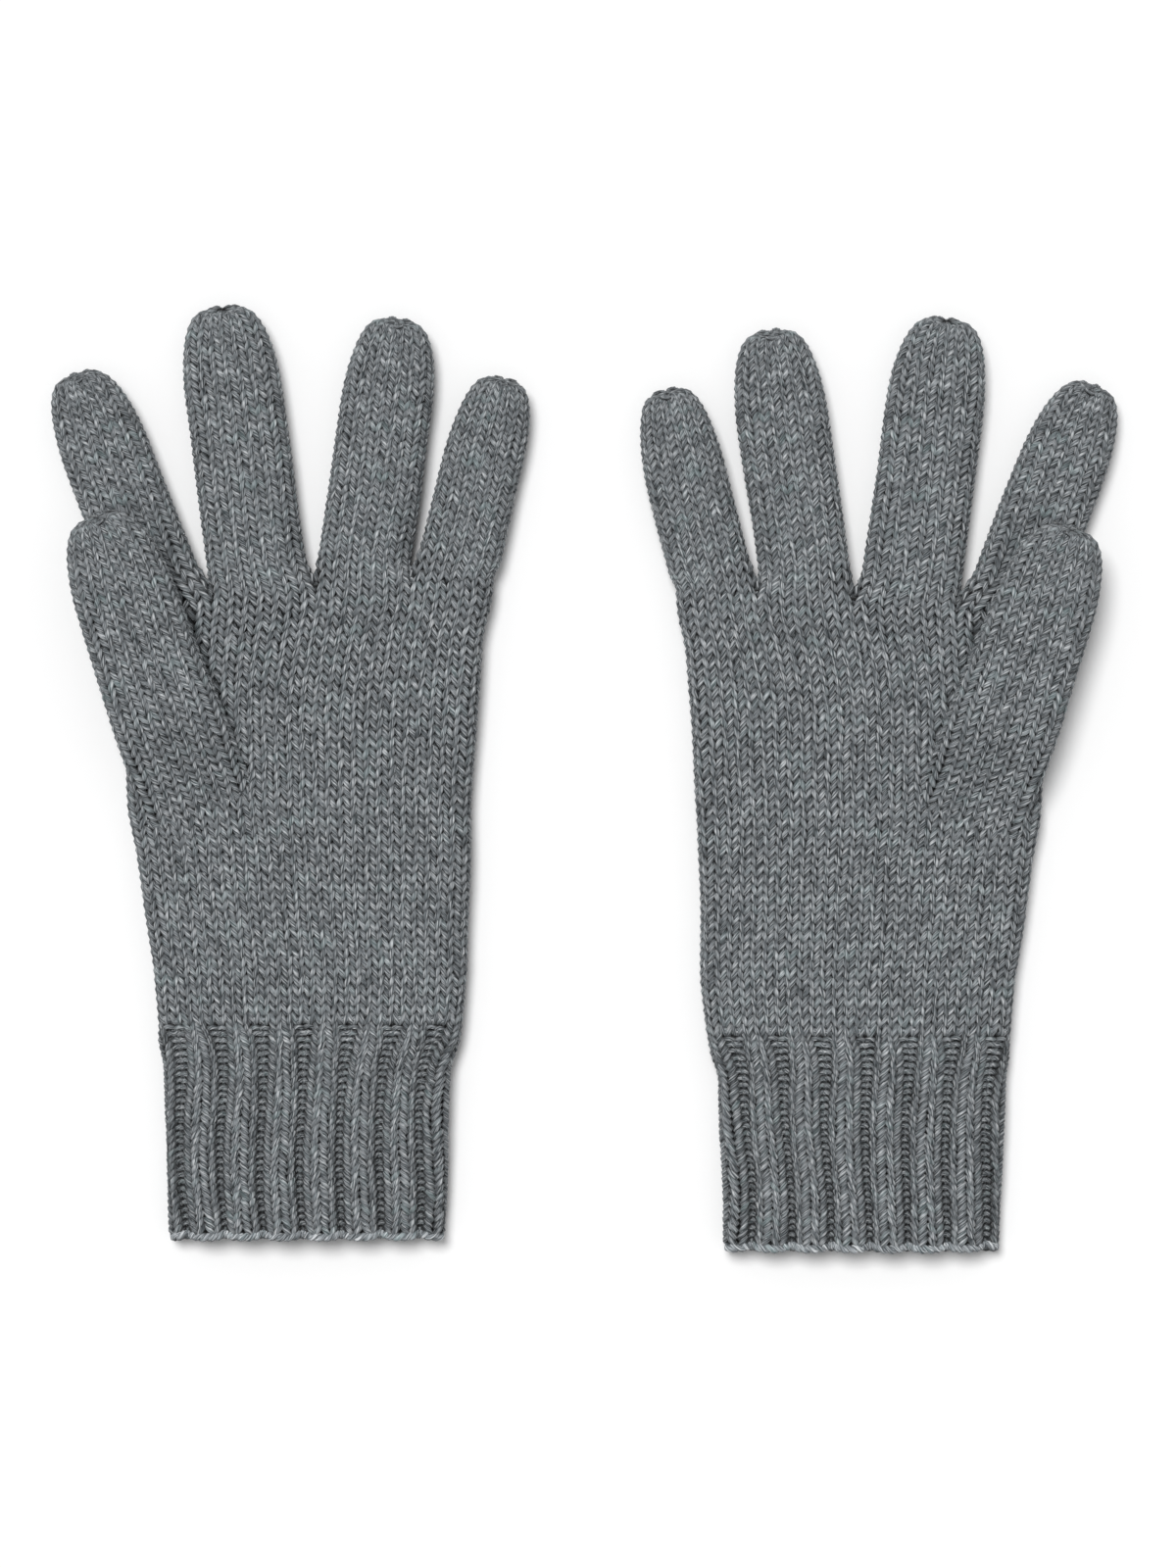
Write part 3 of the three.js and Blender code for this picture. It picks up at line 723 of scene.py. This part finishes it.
# Spun wool in a grey melange: dark and pale fibres lie along the yarn with its twist, over slower
# changes of tone, and the plies show as slanting ridges. To the eye it is matt and full of small
# pale and dark streaks, with hardly any gloss and a faint haze from its fuzz.
def melangeWool(name, brightness):
    material = bpy.data.materials.new(name)
    material.use_nodes = True
    tree = material.node_tree
    shader = tree.nodes["Principled BSDF"]
    shader.inputs["Roughness"].default_value = 0.93
    shader.inputs["IOR"].default_value = 1.55
    shader.inputs["Specular IOR Level"].default_value = 0.12
    shader.inputs["Sheen Weight"].default_value = 0.06
    shader.inputs["Sheen Roughness"].default_value = 0.6
    uv = addNode(tree, "ShaderNodeUVMap", {"uv_map": "yarn"})
    # the yarn's map counts centimetres along the yarn and turns round it; fibres follow the twist
    parts = addNode(tree, "ShaderNodeSeparateXYZ", {}, {0: uv.outputs["UV"]})
    twist = addNode(tree, "ShaderNodeMath", {"operation": "MULTIPLY_ADD", 1: wool["twist"]},
                    {0: parts.outputs["X"], 2: parts.outputs["Y"]})
    lengths = addNode(tree, "ShaderNodeMath", {"operation": "MULTIPLY", 1: wool["streaks"]},
                      {0: parts.outputs["X"]})
    rounds = addNode(tree, "ShaderNodeMath", {"operation": "MULTIPLY", 1: wool["streaksRound"]},
                     {0: twist.outputs[0]})
    twisted = addNode(tree, "ShaderNodeCombineXYZ", {}, {"X": lengths.outputs[0], "Y": rounds.outputs[0]})
    fibre = addNode(tree, "ShaderNodeTexNoise", {"Scale": 1.0, "Detail": 2.0, "Roughness": 0.6},
                    {"Vector": twisted.outputs[0]})
    slow = addNode(tree, "ShaderNodeMapping", {"Scale": wool["patch"]}, {"Vector": uv.outputs["UV"]})
    tone = addNode(tree, "ShaderNodeTexNoise", {"Scale": 1.0, "Detail": 2.0}, {"Vector": slow.outputs[0]})
    ramp = addNode(tree, "ShaderNodeValToRGB", {}, {"Fac": fibre.outputs["Fac"]})
    elements = ramp.color_ramp.elements
    elements.remove(elements[1])
    for code, position in wool["fibres"][1:]:
        elements.new(position).color = linearColour(code)
    elements[0].position = wool["fibres"][0][1]
    elements[0].color = linearColour(wool["fibres"][0][0])
    amount = addNode(tree, "ShaderNodeMapRange", {
        "From Min": 0.52, "From Max": 0.72, "To Min": 0.0, "To Max": wool["tintShare"]},
        {"Value": tone.outputs["Fac"]})
    tinted = addNode(tree, "ShaderNodeMix", {
        "data_type": "RGBA", "blend_type": "MIX", 7: linearColour(wool["tint"])},
        {0: amount.outputs[0], 6: ramp.outputs[0]})
    darkest, palest = wool["patchTones"]
    gain = addNode(tree, "ShaderNodeMapRange", {
        "From Min": 0.3, "From Max": 0.7, "To Min": darkest * brightness, "To Max": palest * brightness},
        {"Value": tone.outputs["Fac"]})
    # painted shade: the yarn's colour is darkened towards the inside of the fabric, where shade falls
    # between the stitches
    shade = addNode(tree, "ShaderNodeAttribute", {"attribute_name": "shade"})
    keep = addNode(tree, "ShaderNodeMapRange", {"To Min": 1.0, "To Max": yarn["shadeTo"]},
                   {"Value": shade.outputs["Fac"]})
    toned = addNode(tree, "ShaderNodeMath", {"operation": "MULTIPLY"},
                    {0: gain.outputs[0], 1: keep.outputs[0]})
    scaled = addNode(tree, "ShaderNodeVectorMath", {"operation": "SCALE"},
                     {0: tinted.outputs[2], "Scale": toned.outputs[0]})
    tree.links.new(scaled.outputs[0], shader.inputs["Base Color"])
    # each ply shows as a sine round the yarn, twisted like the fibres
    angle = addNode(tree, "ShaderNodeMath", {"operation": "MULTIPLY", 1: 2 * math.pi * wool["plies"]},
                    {0: twist.outputs[0]})
    ply = addNode(tree, "ShaderNodeMath", {"operation": "SINE"}, {0: angle.outputs[0]})
    height = addNode(tree, "ShaderNodeMath", {"operation": "MULTIPLY_ADD", 1: wool["plyHeight"]},
                     {0: ply.outputs[0], 2: fibre.outputs["Fac"]})
    bump = addNode(tree, "ShaderNodeBump", {"Strength": 0.7, "Distance": wool["ridge"]},
                   {"Height": height.outputs[0]})
    tree.links.new(bump.outputs[0], shader.inputs["Normal"])
    return material


# Uncoated white paper: even and bright, without gloss.
def floorPaper():
    material = bpy.data.materials.new("matt white paper")
    material.use_nodes = True
    shader = material.node_tree.nodes["Principled BSDF"]
    shader.inputs["Base Color"].default_value = linearColour("#fbfbfb")
    shader.inputs["Roughness"].default_value = 0.9
    return material


def blendAcross(piece, glove, parent, child, place, along, before, after, up):
    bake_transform(piece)


closingRing = {              # in millimetres, for one full turn of the spiral
    "turns": 1.3, "points": 40, "wide": 1.5, "narrows": 0.5, "behind": 0.5, "sinks": 0.9,
    # stand only sets the ring's painted shade: its yarn is painted as lit as yarn this far out of the
    # fabric
    "radius": 0.6, "stand": 0.4,
}


# The closing yarn: one small ring of yarn round the last stitches, a spiral that sinks into the tip.
# Its radius falls and its depth grows evenly with the turn, square to the tip's turned-up end.
def tipGather(name, glove, tube, along, materials):
    size = closingRing
    x, y, z = (np.interp(tube["rows"], tube["row"], tube["stations"][key]) for key in "xyz")
    turned = np.linspace(0, size["turns"], size["points"])[:, None]
    angle = 2 * math.pi * turned
    tilt = math.radians(tipShape["turn"])
    ahead = np.array([*(along * math.cos(tilt)), math.sin(tilt)])
    up = np.array([*(-along * math.sin(tilt)), math.cos(tilt)])
    across = np.array([along[1], -along[0], 0])
    ring = size["wide"] - size["narrows"] * turned
    centre = np.array([x, y, z]) - ahead * (size["behind"] + size["sinks"] * turned)
    centre = (centre + ring * (across * np.cos(angle) + up * np.sin(angle)))[None]
    reference = np.broadcast_to(ahead, centre.shape)
    radius = np.full(centre.shape[:2], size["radius"])
    # painted shade: the ring's yarn is painted as if it stood out by the given height
    stand = np.full(centre.shape[:2], size["stand"])
    chunk = sweepYarn(centre, reference, radius, 2 * angle.T, stand, False)
    return makePiece(name, glove, [(0, chunk)], materials)


castOn = {                   # in millimetres, and rows where it says so
    "steps": 8,              # points to a stitch
    "level": -0.25, "dip": 0.28,     # how far below the first row, and how much lower on a rib, in rows
    "swing": 0.62, "drop": 0.55,     # how far a strand swings in and out, and up and down
    # stand only sets the edge's painted shade: its yarn is painted as lit as yarn this far out of the
    # fabric
    "radius": 0.92, "stand": 1.2,
    "strandLength": 5,       # of yarn to a stitch
    "strandShift": 40,       # keeps the strands' fibres from lying alike
}


# The cast-on edge: two strands that turn round each other once a stitch along the cuff's first row,
# by cos of the turn in and out and sin of it up and down. They dip below the raised ribs.
def castOnEdge(name, glove, tube, materials):
    size = castOn
    wale = np.arange(tube["wales"] * size["steps"]) / size["steps"]
    turn = 2 * math.pi * wale
    row = size["level"] - size["dip"] * np.cos(math.pi / 2 * (wale + 0.5))
    point, normal, _, _ = surfaceFrame(tube, wale[None], row[None])
    lift = tube["lift"](wale, 0 * wale)
    lines, alongs = [], []
    for phase in (0, math.pi):
        out = lift + size["swing"] * np.cos(turn + phase)
        line = point + normal * out[None, :, None]
        line[..., 1] += size["drop"] * np.sin(turn + phase)
        lines.append(line[0])
        alongs.append(wale * size["strandLength"] + phase * size["strandShift"])
    centre = np.stack(lines)
    reference = np.concatenate([normal, normal])
    radius = np.full(centre.shape[:2], size["radius"])
    # painted shade: the edge's yarn is painted as if it stood out by the given height
    stand = np.full(centre.shape[:2], size["stand"])
    chunk = sweepYarn(centre, reference, radius, np.stack(alongs), stand, True)
    return makePiece(name, glove, [(0, chunk)], materials)


def buildGlove(side, yarns):
    glove = gloveFrame(side)
    fingers = {name: fingerSize(glove, name) for name in fingerKnit}
    line = knuckleLine(glove, fingers)
    thumb = thumbSize(glove)
    press = pressUnder(thumb)
    body = bodyTube(glove, line, press)
    names = ("cuff_knit", "wrist_knit", "palm_knit", "knuckle_knit")
    pieces = {}
    for name, first, last in zip(names, bodyKnit["splits"][:-1], bodyKnit["splits"][1:]):
        pieces[name] = knitPiece(side + "_" + name, glove, body, first, last, yarns)
    fold = np.array([0.0, glove["wrist"]])
    blendAcross(pieces["wrist_knit"], glove, "_hand", "_cuff", fold, np.array([0.0, 1.0]),
                bodyKnit["bend"], -bodyKnit["bend"], glove["middle"])
    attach(pieces["cuff_knit"], side + "_cuff")
    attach(pieces["palm_knit"], side + "_hand")
    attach(pieces["knuckle_knit"], side + "_hand")
    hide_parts(side + "_cuff")
    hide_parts(side + "_hand")
    edge = castOnEdge(side + "_cast_on_yarn", glove, body, yarns[:1])
    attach(edge, side + "_cuff")
    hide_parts(side + "_cast_on_edge")
    print(side, "cuff and hand knitted")

    for order, (name, finger) in enumerate(fingers.items()):
        tube = fingerTube(glove, finger, name, line, order, press)
        part = tube["rowAt"](fingerKnit[name]["part"])
        lower = knitPiece(f"{side}_{name}_root_knit", glove, tube, 0, part, yarns)
        upper = knitPiece(f"{side}_{name}_end_knit", glove, tube, part, tube["rows"], yarns)
        bend, knuckle = fingerShape["bend"], finger["knuckle"]
        blendAcross(lower, glove, "_hand", f"_{name}_lower", finger["place"], finger["along"],
                    -bend, bend, glove["middle"])
        blendAcross(upper, glove, f"_{name}_lower", f"_{name}_upper", finger["place"], finger["along"],
                    knuckle - bend, knuckle + bend, glove["middle"])
        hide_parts(f"{side}_{name}_lower")
        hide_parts(f"{side}_{name}_upper")
        gather = tipGather(f"{side}_{name}_closing_yarn", glove, tube, finger["along"], yarns[:1])
        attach(gather, f"{side}_{name}_upper")
        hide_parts(f"{side}_{name}_tip_gather")
    print(side, "fingers knitted")

    tube = thumbTube(glove, thumb)
    knit = knitPiece(side + "_thumb_knit", glove, tube, 0, tube["rows"], yarns)
    place, along = thumb["place"], thumb["along"]
    blendAcross(knit, glove, "_hand", "_thumb", place, along, *thumbKnit["bend"], thumb["low"])
    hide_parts(side + "_thumb")
    gather = tipGather(side + "_thumb_closing_yarn", glove, tube, along, yarns[:1])
    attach(gather, side + "_thumb")
    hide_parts(side + "_thumb_tip_gather")
    print(side, "thumb knitted")


studio = {                   # in metres
    "cameraHeight": 1.6,
    "tableUp": 0.01,         # the middle of the gloves' thickness
    "seen": 0.4315,          # what the camera sees at that height from end to end
    "centre": (0.0010, -0.0016),
    "key": (-0.25, 0.4, 1.3), "keyAngle": 25, "keyPower": 2.3,
    "surround": 0.4,         # strength of the white room's light
    "floorHalf": 3.0,
    "floorUp": -0.0007,      # just below the gloves
}


def makeStudio():
    scene = bpy.context.scene
    camera = bpy.data.objects.new("camera", bpy.data.cameras.new("camera"))
    camera.data.sensor_width = 36
    camera.data.lens = 36 * studio["cameraHeight"] / studio["seen"]
    camera.location = (*studio["centre"], studio["cameraHeight"] + studio["tableUp"])
    scene.collection.objects.link(camera)
    scene.camera = camera
    half, up = studio["floorHalf"], studio["floorUp"]
    corners = [(-half, -half, up), (half, -half, up), (half, half, up), (-half, half, up)]
    mesh = bpy.data.meshes.new("floor")
    mesh.from_pydata(corners, [], [(0, 1, 2, 3)])
    floor = bpy.data.objects.new("floor", mesh)
    mesh.materials.append(floorPaper())
    scene.collection.objects.link(floor)
    lamp = bpy.data.lights.new("soft light", "SUN")
    lamp.angle = math.radians(studio["keyAngle"])
    lamp.energy = studio["keyPower"]
    light = bpy.data.objects.new("soft light", lamp)
    light.rotation_euler = (-Vector(studio["key"])).to_track_quat("-Z", "Y").to_euler()
    scene.collection.objects.link(light)
    world = bpy.data.worlds.new("white room")
    world.use_nodes = True
    world.node_tree.nodes["Background"].inputs["Color"].default_value = (1, 1, 1, 1)
    world.node_tree.nodes["Background"].inputs["Strength"].default_value = studio["surround"]
    scene.world = world
    scene.view_settings.view_transform = "Standard"
    print("studio ready")


makeStudio()
# two copies of one wool: the second, darker one is painted shade, for the sheet behind the stitches
front = melangeWool("grey melange wool", wool["outer"])
behind = melangeWool("grey melange wool in shade", wool["inner"])
for side in ("left", "right"):
    buildGlove(side, [front, behind])
